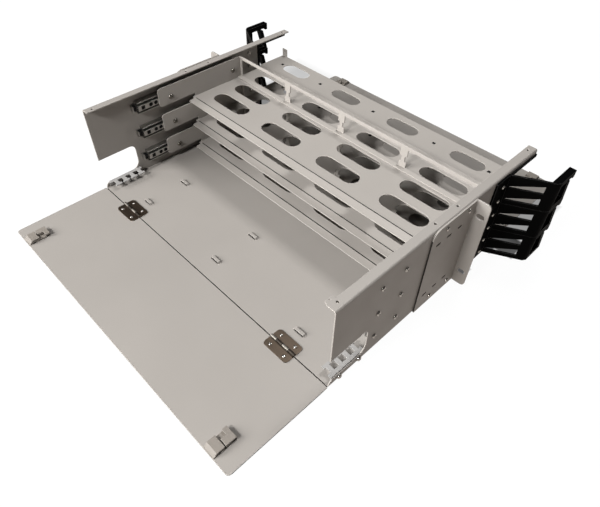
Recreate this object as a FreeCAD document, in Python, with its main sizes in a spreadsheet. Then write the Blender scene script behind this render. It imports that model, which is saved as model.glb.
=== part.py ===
import FreeCAD, Part
import collections
import math
import os
import re
import types
import Sketcher

# Sizes in millimetres, each written once
SIZES = {
    # folded chassis
    "chassis_width": 445,
    "chassis_depth": 352,
    "wall_height": 129,
    "sheet_thickness": 1.5,
    "bend_radius": 2.5,
    "flange_width": 12,
    "notch_depth": 57,
    "notch_bottom": 9.5,
    "notch_top": 49,
    "notch_top_round": 8,
    "notch_low_round": 13,
    "strip_round": 8,
    "exit_depth": 56,
    "exit_bottom": 10,
    "top_strip_height": 8,
    "cover_hole_radius": 1.6,
    "cover_hole_inset": 7.5,
    "cover_hole_end": 10,
    "cover_hole_middle": 20,
    "tab_width": 4,
    "tab_length": 11,
    "tab_rear_gap": 1,
    "tab_round": 2,
    "tab_hole_radius": 0.8,
    # cable tie bridges on the floor
    "tie_spacing": 153,
    "tie_rear_row": 26,
    "tie_front_row": 88,
    "tie_length": 17,
    "tie_width": 4,
    "tie_rise": 3,
    "tie_slope": 1.8,
    "tie_thickness": 1,
    # drop-down doors at both ends
    "door_length": 132.3,
    "door_gap": 1.2,
    "door_round": 4,
    # butt hinges
    "hinge_spacing": 153,
    "hinge_width": 38,
    "hinge_leaf_length": 13.7,
    "leaf_round": 4,
    "leaf_thickness": 1,
    "barrel_radius": 1.8,
    "hinge_pin_radius": 0.9,
    "pin_clearance": 0.05,
    "knuckle_gap": 0.3,
    "hinge_lift": 0.2,
    "hinge_relief": 0.3,
    # snap latches
    "latch_inset": 30,
    "latch_edge": 1,
    "latch_width": 16,
    "latch_height": 5.5,
    "bolt_length": 14,
    "ramp_length": 4,
    "bolt_nose": 1,
    "bolt_travel": 1.2,
    "bolt_end_gap": 0.2,
    "housing_length": 13,
    "housing_bridge": 6,
    "tongue_width": 6.4,
    "tongue_height": 2,
    "tongue_length": 12,
    "tongue_clearance": 0.3,
    "slide_clearance": 0.1,
    "finger_width": 10,
    "finger_length": 6.4,
    "finger_setback": 4,
    "finger_recess": 0.3,
    # rack ear brackets
    "rack_width": 482.6,
    "rack_slot_spacing": 465.1,
    "rack_slot_pitch": 88.9,
    "rack_slot_length": 10,
    "rack_slot_width": 6.8,
    "ear_setback": 130,
    "ear_round": 5,
    "bracket_sheet": 2,
    "bracket_length": 79,
    "bracket_round": 10,
    "adjust_slot_length": 8,
    "adjust_slot_width": 3,
    "adjust_slot_pitch": 19.5,
    "adjust_slot_inset": 13.5,
    "adjust_row_spacing": 82,
    # rear cable combs
    "comb_depth": 16.5,
    "comb_thickness": 1.5,
    "comb_rear_gap": 5,
    "comb_length": 52,
    "comb_flange_bottom": 3,
    "comb_first_finger": 8,
    "comb_pitch": 12.5,
    "comb_spine": 5,
    "comb_neck_width": 5.3,
    "comb_head_width": 10,
    "comb_head_depth": 4,
    # front cable guides
    "guide_tier": 42,
    "guide_gap": 0.3,
    "guide_pad_rear": 85,
    "guide_pad_front": 111,
    "guide_pad_thickness": 2.5,
    "guide_plate": 2.8,
    "guide_slope": 0.54,
    "guide_reach": 50,
    "guide_corner": 3,
    "guide_slot_start": 4.5,
    "guide_slot_end": 38,
    "guide_slot_rise": 9.8,
    "guide_slot_tip": 1.8,
    "guide_slot_low": 6.4,
    "guide_slot_pitch": 18,
    "ring_width": 9,
    "ring_front": 177,
    "ring_rear_post": 7,
    "ring_front_post": 7,
    "ring_toe": 1,
    "ring_lean": 8,
    "ring_lip": 4,
    "ring_lip_drop": 3,
    "ring_top_bar": 7,
    "ring_bottom_bar": 5,
    "ring_slit": 3,
    # edge trims
    "trim_wall": 1.5,
    "trim_lip": 2,
    # ball slides
    "bottom_slide_height": 26,
    "level_pitch": 39.5,
    "slide_rear": -105.5,
    "slide_length": 180,
    "slide_depth": 10,
    "rail_sheet": 1.2,
    "rail_height": 17,
    "rail_reach": 8.5,
    "rail_tail": 6.5,
    "rail_tail_height": 9,
    "rail_stop_reach": 7,
    "inner_rail_height": 8,
    "inner_rail_setback": 0.5,
    "run_gap": 0.4,
    "retainer_sheet": 1,
    "retainer_reach": 7.5,
    "retainer_setback": 15.5,
    "retainer_length": 120,
    "rail_hole": 4.4,
    "rail_hole_first": 7.5,
    "rail_hole_second": 19.6,
    "rail_hole_third": 27.7,
    # sliding trays
    "tray_sheet": 1.2,
    "tray_drop": 15,
    "tray_wall_rear": -73,
    "tray_wall_height": 32,
    "tray_wall_round": 4,
    "tray_wall_lift": 5,
    "tray_hem_rear": -27.3,
    "tray_hem_front": -17,
    "tray_hem_droop": 1.8,
    "tray_hem_inset": 5.5,
    "tray_wall_foot": -13,
    "tray_floor_front": 106,
    "tray_ramp_run": 10,
    "tray_ramp_rise": 4,
    "tray_front": 164,
    "tray_tab_width": 10,
    "tray_tab_height": 12,
    "bay_pitch": 104.5,
    "tray_slot_length": 68,
    "tray_slot_width": 24,
    "tray_slot_first_row": 12,
    "tray_slot_row_pitch": 39,
    "shelf_slot_length": 50,
    "shelf_slot_width": 22,
    "shelf_slot_row": 141.5,
    "shelf_hole": 3,
    "shelf_end_hole": 188,
    # adapter frames
    "frame_position": 73.5,
    "frame_sheet": 1.5,
    "frame_height": 32.5,
    "frame_top_bar": 4.6,
    "frame_foot_depth": 8,
    "frame_post_width": 11,
    "frame_end_post": 4.3,
    "frame_post_step": 2.8,
    "frame_step_low": 9.3,
    "frame_step_high": 17,
    "frame_foot_slot": 3,
    "frame_slot_offset": 4.5,
}

# How far a cut runs past the faces it opens
PAST = 1

SIDES = (("left", -1), ("right", 1))
ENDS = (("rear", -1), ("front", 1))
LEVELS = (("bottom", 0), ("middle", 1), ("top", 2))
BAYS = 4
POSTS = (-1, 0, 1)
COMB_FINGERS = 4
HINGE_KNUCKLES = 4

# Straight steps that draw a tray slot's end, a small corner, a small hole, a hinge barrel and a hinge pin
SLOT_STEPS = 6
CORNER_STEPS = 3
HOLE_SIDES = 8
BARREL_SIDES = 8
PIN_SIDES = 6

# Loops with true arcs, for holes that take screws
Bore = collections.namedtuple("Bore", "x y radius")
Obround = collections.namedtuple("Obround", "x y length width")


class Dim:
    """A length that carries its number and the sheet formula behind it."""

    def __init__(self, value, text):
        self.value = value
        self.text = text

    def __neg__(self):
        return Dim(-self.value, f"-{self.text}")

    def __add__(self, other):
        other = dim(other)
        return Dim(self.value + other.value, f"({self.text} + {other.text})")

    def __sub__(self, other):
        other = dim(other)
        return Dim(self.value - other.value, f"({self.text} - {other.text})")

    def __mul__(self, other):
        other = dim(other)
        return Dim(self.value * other.value, f"({self.text} * {other.text})")

    def __truediv__(self, other):
        other = dim(other)
        return Dim(self.value / other.value, f"({self.text} / {other.text})")

    def __radd__(self, other):
        return dim(other) + self

    def __rsub__(self, other):
        return dim(other) - self

    def __rmul__(self, other):
        return dim(other) * self

    def formula(self):
        return re.sub(r"[a-z_]+", lambda word: f"Sizes.{word.group(0)}", self.text)


def dim(number):
    if isinstance(number, Dim):
        return number
    return Dim(float(number), f"({number})")


doc = FreeCAD.newDocument("fibre_patch_panel")
sheet = doc.addObject("Spreadsheet::Sheet", "Sizes")
for row, (alias, number) in enumerate(SIZES.items(), start=1):
    sheet.set(f"A{row}", alias.replace("_", " "))
    sheet.set(f"B{row}", str(number))
    sheet.setAlias(f"B{row}", alias)
doc.recompute()

size = types.SimpleNamespace(**{alias: Dim(number, alias) for alias, number in SIZES.items()})
nodes = []


def bind(thing, prop, length):
    thing.setExpression(prop, dim(length).formula())


class Profile:
    """Closed loops gathered for one sketch, each corner tied to the sheet."""

    def __init__(self):
        self.curves = []
        self.helpers = []
        self.rules = []
        self.formulas = {}

    def curve(self, shape, helper=False):
        self.curves.append(shape)
        self.helpers.append(helper)
        return len(self.curves) - 1

    def rule(self, *terms):
        self.rules.append(Sketcher.Constraint(*terms))

    def length(self, kind, *terms):
        self.formulas[len(self.rules)] = terms[-1]
        self.rule(kind, *terms[:-1], terms[-1].value)

    def place(self, index, point, x, y):
        self.length("DistanceX", index, point, x)
        self.length("DistanceY", index, point, y)

    def polygon(self, corners):
        corners = [tuple(dim(value) for value in corner) for corner in corners]
        apex = [FreeCAD.Vector(corner[0].value, corner[1].value, 0) for corner in corners]
        count = len(corners)
        reach, leave, bends = [], [], []
        for i, corner in enumerate(corners):
            way_in = (apex[i] - apex[i - 1]).normalize()
            way_out = (apex[(i + 1) % count] - apex[i]).normalize()
            if len(corner) == 2:
                reach.append(apex[i])
                leave.append(apex[i])
                bends.append(None)
                continue
            radius = corner[2].value
            turn = way_in.getAngle(way_out)
            trim = radius * math.tan(turn / 2)
            centre = apex[i] + (way_out - way_in).normalize() * (radius / math.cos(turn / 2))
            reach.append(apex[i] - way_in * trim)
            leave.append(apex[i] + way_out * trim)
            left_turn = way_in.cross(way_out).z > 0
            start = (reach[i] if left_turn else leave[i]) - centre
            bends.append((arc(centre, radius, math.atan2(start.y, start.x), turn), left_turn))
        lines = [self.curve(Part.LineSegment(leave[i], reach[(i + 1) % count])) for i in range(count)]
        for i, corner in enumerate(corners):
            before, after = lines[i - 1], lines[i]
            if bends[i] is None:
                self.rule("Coincident", before, 2, after, 1)
                self.place(after, 1, corner[0], corner[1])
                continue
            shape, left_turn = bends[i]
            bend = self.curve(shape)
            point = self.curve(Part.Point(apex[i]), helper=True)
            self.rule("Tangent", before, 2, bend, 1 if left_turn else 2)
            self.rule("Tangent", bend, 2 if left_turn else 1, after, 1)
            self.rule("PointOnObject", point, 1, before)
            self.rule("PointOnObject", point, 1, after)
            self.place(point, 1, corner[0], corner[1])
            self.length("Radius", bend, corner[2])

    def bore(self, loop):
        x, y, radius = [dim(value) for value in loop]
        centre = FreeCAD.Vector(x.value, y.value, 0)
        circle = self.curve(Part.Circle(centre, FreeCAD.Vector(0, 0, 1), radius.value))
        self.place(circle, 3, x, y)
        self.length("Radius", circle, radius)

    def obround(self, loop):
        x, y, length, width = [dim(value) for value in loop]
        radius = width / 2
        reach = (length - width) / 2
        ends = [FreeCAD.Vector((x + way * reach).value, y.value, 0) for way in (1, -1)]
        rise = FreeCAD.Vector(0, radius.value, 0)
        right = self.curve(arc(ends[0], radius.value, -math.pi / 2, math.pi))
        top = self.curve(Part.LineSegment(ends[0] + rise, ends[1] + rise))
        left = self.curve(arc(ends[1], radius.value, math.pi / 2, math.pi))
        base = self.curve(Part.LineSegment(ends[1] - rise, ends[0] - rise))
        for before, after in ((right, top), (top, left), (left, base), (base, right)):
            self.rule("Tangent", before, 2, after, 1)
        for bend, way in ((right, 1), (left, -1)):
            self.place(bend, 3, x + way * reach, y)
            self.length("Radius", bend, radius)

    def draw(self, sketch, loops):
        trace = {list: self.polygon, Bore: self.bore, Obround: self.obround}
        for loop in loops:
            trace[type(loop)](loop)
        for shape, helper in zip(self.curves, self.helpers):
            sketch.addGeometry(shape, helper)
        sketch.addConstraint(self.rules)
        for index, length in self.formulas.items():
            bind(sketch, f"Constraints[{index}]", length)


def arc(centre, radius, start, turn):
    circle = Part.Circle(centre, FreeCAD.Vector(0, 0, 1), radius)
    return Part.ArcOfCircle(circle, start, start + turn)


def new_body(label, height=0):
    body = doc.addObject("PartDesign::Body", label)
    body.Label = label
    bind(body, "Placement.Base.z", height)
    nodes.append(body)
    return body


def feature(kind, body, plane, low, high, loops):
    low, high = dim(low), dim(high)
    flipped = plane == "XZ"
    sketch = body.newObject("Sketcher::SketchObject", "Profile")
    base = next(item for item in body.Origin.OriginFeatures if item.Role == f"{plane}_Plane")
    sketch.AttachmentSupport = [(base, "")]
    sketch.MapMode = "FlatFace"
    starts_low = (kind == "Pad") != flipped
    start = low if starts_low else high
    bind(sketch, "AttachmentOffset.Base.z", -start if flipped else start)
    Profile().draw(sketch, loops)
    step = body.newObject(f"PartDesign::{kind}", kind)
    step.Profile = sketch
    bind(step, "Length", high - low)
    step.Refine = True
    return step


def add(body, plane, low, high, *loops):
    feature("Pad", body, plane, low, high, loops)


def cut(body, plane, low, high, *loops):
    return feature("Pocket", body, plane, low, high, loops)


def repeat(body, step, axis, count, pitch):
    row = body.newObject("PartDesign::LinearPattern", "Row")
    row.Originals = [step]
    row.Direction = (next(item for item in body.Origin.OriginFeatures if item.Role == f"{axis}_Axis"), [""])
    bind(row, "Length", (count - 1) * pitch)
    row.Occurrences = count
    body.Tip = row


def box(x_low, y_low, x_high, y_high):
    return [(x_low, y_low), (x_high, y_low), (x_high, y_high), (x_low, y_high)]


def round_points(x, y, radius, start, turn, steps):
    """Corners at equal steps along an arc, given in degrees."""
    angles = [math.radians(start + turn * step / steps) for step in range(steps + 1)]
    return [(x + radius * round(math.cos(a), 6), y + radius * round(math.sin(a), 6)) for a in angles]


def ring(x, y, radius, sides):
    return round_points(x, y, radius, 0, 360, sides)[:-1]


def hole(x, y, radius, sides):
    """A ring whose flats, not its corners, lie at the radius."""
    return ring(x, y, radius * round(1 / math.cos(math.pi / sides), 6), sides)


def eased(x, y, x_way, y_way, radius):
    """A rounded corner in straight steps, from the face at y to the face at x."""
    angles = [math.pi / 2 * step / CORNER_STEPS for step in range(CORNER_STEPS + 1)]
    insets = [(round(1 - math.sin(a), 6), round(1 - math.cos(a), 6)) for a in angles]
    return [(x - x_way * radius * along, y - y_way * radius * down) for along, down in insets]


def stepped_slot(x, y, length, width):
    reach = (length - width) / 2
    first = round_points(x + reach, y, width / 2, -90, 180, SLOT_STEPS)
    return first + round_points(x - reach, y, width / 2, 90, 180, SLOT_STEPS)


def span(side, near, far):
    """Order two distances from the middle as low and high on the given side."""
    return (near, far) if side > 0 else (-far, -near)


# Faces shared by several pieces
wall_out = size.chassis_width / 2
wall_in = wall_out - size.sheet_thickness
floor_top = size.sheet_thickness
front = size.chassis_depth / 2
rear = -front
notch_front = rear + size.notch_depth
exit_rear = front - size.exit_depth
exit_top = size.wall_height - size.top_strip_height
door_far = front + size.door_gap + size.door_length
hinge_height = floor_top + size.hinge_lift + size.barrel_radius
tray_half = wall_in - size.slide_depth
tray_inner = tray_half - size.tray_sheet
frame_back = size.frame_position + size.frame_sheet
slide_front = size.slide_rear + size.slide_length


def slide_height(level):
    return size.bottom_slide_height + level * size.level_pitch


def floor_height(level):
    return slide_height(level) - size.tray_drop


def make_chassis():
    body = new_body("chassis")
    top = size.wall_height
    under = top - size.sheet_thickness
    lip = wall_out - size.flange_width
    bend = size.bend_radius
    add(body, "XZ", rear, front, [
        (-wall_out, 0, bend), (wall_out, 0, bend), (wall_out, top, bend), (lip, top), (lip, under), (wall_in, under),
        (wall_in, floor_top), (-wall_in, floor_top), (-wall_in, under), (-lip, under), (-lip, top),
        (-wall_out, top, bend),
    ])
    notch = [
        (rear - PAST, size.notch_bottom - size.strip_round),
        *eased(rear, size.notch_bottom, -1, 1, size.strip_round)[::-1],
        (notch_front, size.notch_bottom, size.notch_low_round),
        *eased(notch_front, size.notch_top, 1, 1, size.notch_top_round)[::-1], (rear - PAST, size.notch_top),
    ]
    side_exit = box(exit_rear, size.exit_bottom, front + PAST, exit_top)
    for _, side in SIDES:
        low, high = span(side, wall_in - PAST, wall_out + PAST)
        cut(body, "YZ", low, high, notch, side_exit)
    rows = (rear + size.cover_hole_end, -size.cover_hole_middle, dim(0) + size.cover_hole_middle,
            front - size.cover_hole_end)
    cut(body, "XY", under - PAST, top + PAST, *[
        Bore(side * (wall_out - size.cover_hole_inset), row, size.cover_hole_radius)
        for _, side in SIDES for row in rows
    ])
    tab = lip - size.tab_width
    tab_rear = rear + size.tab_rear_gap
    tab_front = tab_rear + size.tab_length
    add(body, "XY", under, top, [
        (lip, tab_rear), (lip, tab_front), *eased(tab, tab_front, -1, 1, size.tab_round),
        *eased(tab, tab_rear, -1, -1, size.tab_round)[::-1],
    ])
    cut(body, "XY", under - PAST, top + PAST,
        hole(tab + size.tab_width / 2, tab_rear + size.tab_length / 2, size.tab_hole_radius, HOLE_SIDES))
    half = size.tie_width / 2
    inner = size.tie_length / 2 - size.tie_thickness
    for distance in (size.tie_rear_row, size.tie_front_row):
        row = rear + distance
        places = [place * size.tie_spacing for place in POSTS]
        openings = [box(x - inner, row - half, x + inner, row + half) for x in places]
        cut(body, "XY", -PAST, floor_top + PAST, *openings)
        add(body, "XZ", row - half, row + half, *[tie_bridge(x) for x in places])


def tie_bridge(x):
    half = size.tie_length / 2
    shoulder = half - size.tie_slope
    inner = half - size.tie_thickness
    inner_shoulder = shoulder - size.tie_thickness / 2
    top = floor_top + size.tie_rise
    under = top - size.tie_thickness
    return [
        (x - half, floor_top), (x - shoulder, top), (x + shoulder, top), (x + half, floor_top),
        (x + inner, floor_top), (x + inner_shoulder, under), (x - inner_shoulder, under), (x - inner, floor_top),
    ]


def latch_middle(side):
    return side * (wall_out - size.latch_inset)


def make_door(label, end):
    body = new_body(label)
    near = end * (front + size.door_gap)
    far = end * door_far
    add(body, "XY", 0, floor_top, [
        (-wall_out, near), *eased(-wall_out, far, -1, end, size.door_round)[::-1],
        *eased(wall_out, far, 1, end, size.door_round), (wall_out, near),
    ])
    start = size.latch_edge + size.finger_setback - size.tongue_clearance
    stop = size.latch_edge + size.finger_setback + size.finger_length + size.bolt_travel + size.tongue_clearance
    half = size.finger_width / 2 + size.tongue_clearance
    cut(body, "XY", -PAST, floor_top + PAST, *[
        box(latch_middle(side) - half, end * (door_far - start), latch_middle(side) + half, end * (door_far - stop))
        for _, side in SIDES
    ])


def make_hinge_leaf(label, end, side, moving):
    body = new_body(label)
    axis = end * front
    outward = end if moving else -end
    middle = side * size.hinge_spacing
    half = size.hinge_width / 2
    knuckle = size.hinge_width / HINGE_KNUCKLES
    near = axis + outward * (size.barrel_radius + size.hinge_relief)
    far = axis + outward * size.hinge_leaf_length
    leaf_top = floor_top + size.leaf_thickness
    gap = size.knuckle_gap / 2
    first = 1 if moving == (side > 0) else 0
    starts = [middle - half + place * knuckle for place in range(first, HINGE_KNUCKLES, 2)]
    knuckles = [(start + gap, start + knuckle - gap) for start in starts]
    add(body, "XY", floor_top, leaf_top, [
        (middle - half, near), *eased(middle - half, far, -1, outward, size.leaf_round)[::-1],
        *eased(middle + half, far, 1, outward, size.leaf_round), (middle + half, near),
    ])
    add(body, "XY", floor_top, leaf_top, *[box(low, axis, high, near) for low, high in knuckles])
    for low, high in knuckles:
        add(body, "YZ", low, high, ring(axis, hinge_height, size.barrel_radius, BARREL_SIDES))
    bore = hole(axis, hinge_height, size.hinge_pin_radius + size.pin_clearance, PIN_SIDES)
    cut(body, "YZ", middle - half, middle + half, bore)


def make_hinge_pins(label, end):
    pins = []
    for _, side in SIDES:
        pin = doc.addObject("Part::Prism", "Pin")
        pin.Polygon = PIN_SIDES
        bind(pin, "Circumradius", size.hinge_pin_radius)
        bind(pin, "Height", size.hinge_width)
        pin.Placement.Rotation = FreeCAD.Rotation(FreeCAD.Vector(0, 1, 0), 90)
        bind(pin, "Placement.Base.x", side * size.hinge_spacing - size.hinge_width / 2)
        bind(pin, "Placement.Base.y", end * front)
        bind(pin, "Placement.Base.z", hinge_height)
        pins.append(pin)
    pair = doc.addObject("Part::Compound", label)
    pair.Label = label
    pair.Links = pins
    nodes.append(pair)


def make_latch(label, end, side):
    middle = latch_middle(side)
    half = size.latch_width / 2
    channel = size.tongue_width + 2 * size.tongue_clearance
    tongue_middle = middle - side * (half - channel / 2)
    top = floor_top + size.latch_height
    base = floor_top + size.slide_clearance
    tongue_top = base + size.tongue_height
    bolt_end = size.latch_edge + size.bolt_length
    ramp_end = size.latch_edge + size.ramp_length
    housing_start = bolt_end + size.bolt_travel + size.bolt_end_gap
    housing_end = housing_start + size.housing_length
    bridge_start = housing_end - size.housing_bridge

    def along(distance):
        return end * (door_far - distance)

    def across(near, far):
        return (along(far), along(near)) if end > 0 else (along(near), along(far))

    bolt = new_body(f"{label}_bolt")
    add(bolt, "YZ", middle - half, middle + half, [
        (along(size.latch_edge), base), (along(bolt_end), base), (along(bolt_end), top), (along(ramp_end), top),
        (along(size.latch_edge), base + size.bolt_nose),
    ])
    reach = size.tongue_width / 2
    low, high = across(bolt_end, bolt_end + size.tongue_length)
    add(bolt, "XZ", low, high, box(tongue_middle - reach, base, tongue_middle + reach, tongue_top))
    finger = size.latch_edge + size.finger_setback
    low, high = across(finger, finger + size.finger_length)
    reach = size.finger_width / 2
    add(bolt, "XZ", low, high, box(middle - reach, size.finger_recess, middle + reach, base))

    housing = new_body(f"{label}_housing")
    outer = middle + side * half
    inner = middle - side * half
    leg = middle - side * (half - channel)
    add(housing, "XY", floor_top, top, [
        (outer, along(housing_start)), (outer, along(housing_end)), (inner, along(housing_end)),
        (inner, along(bridge_start)), (leg, along(bridge_start)), (leg, along(housing_start)),
    ])
    low, high = across(bridge_start - PAST, housing_end + PAST)
    reach = channel / 2
    roof = tongue_top + size.tongue_clearance
    cut(housing, "XZ", low, high, box(tongue_middle - reach, floor_top - PAST, tongue_middle + reach, roof))


def make_ear_bracket(label, side):
    body = new_body(label)
    top = size.wall_height
    middle = top / 2
    ear_front = front - size.ear_setback
    ear_rear = ear_front - size.bracket_sheet
    leaf_rear = ear_front - size.bracket_length
    low, high = span(side, wall_out, wall_out + size.bracket_sheet)
    add(body, "YZ", low, high, [
        (leaf_rear, 0), (ear_front, 0), (ear_front, top), *eased(leaf_rear, top, -1, 1, size.bracket_round),
    ])
    edge = size.rack_width / 2
    add(body, "XZ", ear_rear, ear_front, [
        (side * wall_out, 0), *eased(side * edge, dim(0), side, -1, size.ear_round),
        *eased(side * edge, top, side, 1, size.ear_round)[::-1], (side * wall_out, top),
    ])
    cut(body, "XZ", ear_rear - PAST, ear_front + PAST, *[
        Obround(side * size.rack_slot_spacing / 2, middle + place * size.rack_slot_pitch,
                size.rack_slot_length, size.rack_slot_width)
        for place in (-0.5, 0.5)
    ])
    slots = []
    for place in range(3):
        start = leaf_rear + size.adjust_slot_inset + place * size.adjust_slot_pitch - size.adjust_slot_length / 2
        for row in (-0.5, 0.5):
            height = middle + row * size.adjust_row_spacing - size.adjust_slot_width / 2
            slots.append(box(start, height, start + size.adjust_slot_length, height + size.adjust_slot_width))
    low, high = span(side, wall_out - PAST, wall_out + size.bracket_sheet + PAST)
    cut(body, "YZ", low, high, *slots)


def make_comb(label, side):
    body = new_body(label)
    base = size.notch_bottom
    start = rear + size.comb_rear_gap
    stop = start + size.comb_length
    spine = side * (wall_in - size.comb_spine)
    tip = side * (wall_in - size.comb_depth)
    shoulder = side * (wall_in - size.comb_depth + size.comb_head_depth)
    neck = size.comb_neck_width / 2
    head = size.comb_head_width / 2
    outline = [(side * wall_in, stop), (side * wall_in, start), (spine, start)]
    for place in range(COMB_FINGERS):
        middle = start + size.comb_first_finger + place * size.comb_pitch
        outline += [
            (spine, middle - neck), (shoulder, middle - neck), (shoulder, middle - head), (tip, middle - head),
            (tip, middle + head), (shoulder, middle + head), (shoulder, middle + neck), (spine, middle + neck),
        ]
    outline.append((spine, stop))
    add(body, "XY", base, base + size.comb_thickness, outline)
    low, high = span(side, wall_in - size.comb_thickness, wall_in)
    add(body, "YZ", low, high, box(start, size.comb_flange_bottom, stop - size.notch_low_round, base))


def make_guide(label, side, tier):
    body = new_body(label, tier * size.guide_tier)
    tall = size.guide_tier - size.guide_gap
    reach = size.guide_reach
    inside = reach - size.ring_width
    pad = size.guide_pad_thickness
    plate = size.guide_plate
    corner = size.guide_corner

    def across(distance):
        return side * (wall_out + distance)

    def slant(distance):
        return size.guide_pad_front + size.guide_slope * distance

    post_front = slant(reach) + size.ring_rear_post
    add(body, "XY", 0, tall, [
        (across(0), size.guide_pad_rear), (across(pad), size.guide_pad_rear), (across(pad), slant(pad)),
        (across(reach - corner), slant(reach - corner)), (across(reach), slant(reach) + corner),
        (across(reach), post_front), (across(inside), post_front), (across(inside), slant(inside) + plate),
        (across(0), slant(0) + plate),
    ])
    thick = size.ring_front_post
    foot = size.ring_front - size.ring_toe
    tip = foot - size.ring_lean
    lip = size.ring_front - size.ring_lip
    bar = tall - size.ring_top_bar
    post_top = bar - size.ring_slit
    lip_low = bar - size.ring_lip_drop
    low, high = span(side, wall_out + inside, wall_out + reach)
    add(body, "YZ", low, high, [
        (post_front, 0), (foot, 0), (tip, post_top), (tip - thick, post_top), (foot - thick, size.ring_bottom_bar),
        (post_front, size.ring_bottom_bar),
    ], [
        (post_front, bar), (lip, bar), (lip, lip_low), (size.ring_front, lip_low), (size.ring_front, tall),
        (post_front, tall),
    ])
    slots = []
    for row in (0, 1):
        height = size.guide_slot_low + row * size.guide_slot_pitch
        slots.append([
            (across(size.guide_slot_start), height), (across(size.guide_slot_end), height),
            (across(size.guide_slot_end), height + size.guide_slot_rise),
            (across(size.guide_slot_start), height + size.guide_slot_tip),
        ])
    cut(body, "XZ", slant(0), slant(reach), *slots)


def make_trim(label, side):
    body = new_body(label)
    wall = size.trim_wall
    lip = size.trim_lip
    bottom = size.exit_bottom + lip
    low, high = span(side, wall_in - wall, wall_out + wall)
    add(body, "YZ", low, high, [
        (exit_rear - lip, bottom), (exit_rear + wall, bottom), (exit_rear + wall, exit_top - wall),
        (front, exit_top - wall), (front, exit_top + lip), (exit_rear - lip, exit_top + lip),
    ])
    low, high = span(side, wall_in, wall_out)
    cut(body, "YZ", low, high, [
        (exit_rear - lip - PAST, bottom - PAST), (exit_rear, bottom - PAST), (exit_rear, exit_top),
        (front + PAST, exit_top), (front + PAST, exit_top + lip + PAST),
        (exit_rear - lip - PAST, exit_top + lip + PAST),
    ])


def channel(side, deep, shallow, reach, outside, inside):
    """Section of a rail whose web and two flanges open away from the web."""
    return [
        (side * (wall_in - deep), -outside), (side * (wall_in - reach), -outside),
        (side * (wall_in - reach), -inside), (side * (wall_in - shallow), -inside),
        (side * (wall_in - shallow), inside), (side * (wall_in - reach), inside),
        (side * (wall_in - reach), outside), (side * (wall_in - deep), outside),
    ]


def make_slide(name, side, level):
    height = slide_height(level)
    rail = size.rail_sheet
    rail_half = size.rail_height / 2
    inner_half = size.inner_rail_height / 2
    cage_web = rail + size.run_gap
    cage_inside = cage_web + size.retainer_sheet

    outer = new_body(f"{name}_outer_rail", height)
    add(outer, "XZ", size.slide_rear, slide_front,
        channel(side, dim(0), rail, size.rail_reach, rail_half, rail_half - rail))
    tail = size.rail_tail_height / 2
    tail_rear = size.slide_rear - size.rail_tail
    add(outer, "XZ", tail_rear, size.slide_rear, box(side * wall_in, -tail, side * (wall_in - rail), tail))
    add(outer, "XZ", tail_rear, tail_rear + rail,
        box(side * (wall_in - rail), -tail, side * (wall_in - size.rail_stop_reach), tail))

    cage = new_body(f"{name}_ball_retainer", height)
    cage_rear = size.slide_rear + size.retainer_setback
    add(cage, "XZ", cage_rear, cage_rear + size.retainer_length,
        channel(side, cage_web, cage_inside, size.retainer_reach,
                rail_half - rail - size.run_gap, inner_half + size.run_gap))

    inner = new_body(f"{name}_inner_rail", height)
    inner_rear = size.slide_rear + size.inner_rail_setback
    add(inner, "XZ", inner_rear, slide_front,
        channel(side, size.slide_depth, size.slide_depth - rail, cage_inside + size.run_gap,
                inner_half, inner_half - rail))
    half = size.rail_hole / 2
    square = inner_rear + size.rail_hole_first
    low, high = span(side, tray_half - PAST, tray_half + rail + PAST)
    cut(inner, "YZ", low, high, box(square - half, -half, square + half, half), *[
        hole(inner_rear + place, dim(0), half, HOLE_SIDES) for place in (size.rail_hole_second, size.rail_hole_third)
    ])


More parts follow.
